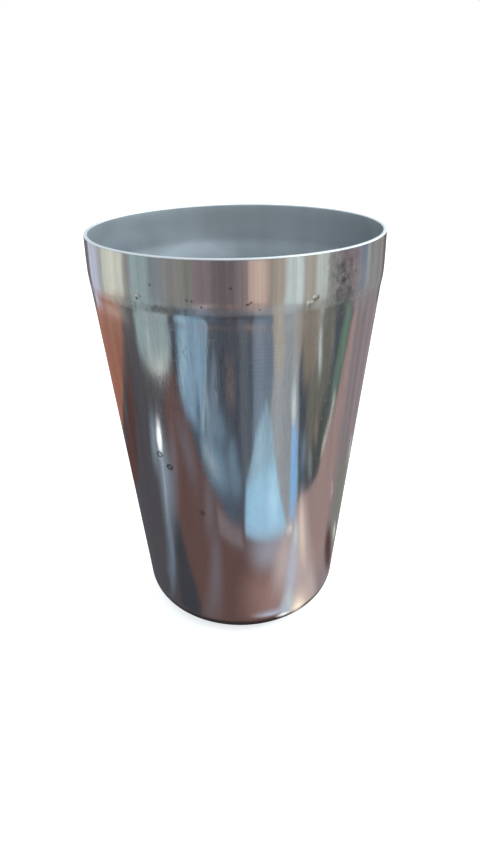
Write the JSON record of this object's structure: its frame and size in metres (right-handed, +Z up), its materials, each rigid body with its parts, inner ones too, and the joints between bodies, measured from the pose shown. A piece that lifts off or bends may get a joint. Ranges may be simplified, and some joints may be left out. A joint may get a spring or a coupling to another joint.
{
  "type": "deep drawn cup",
  "caption": "Tapered deep drawn metal cup with a straight band at the mouth, a small shoulder under it, a rounded foot and a plain trimmed rim: an open container or shell.",
  "frame": {"origin": "centre of the flat foot, on the surface that the cup stands on", "axes": "+Z up the cup's axis, out of the mouth; X and Y are free, because the cup is turned about Z"},
  "size_m": [0.08, 0.08, 0.117],
  "materials": {
    "drawn_steel": "bright outside with fine draw and polishing lines, dull grey inside, bright trimmed rim"
  },
  "bodies": {
    "root": {"drawn_cup": "drawn_steel"}
  },
  "joints": []
}
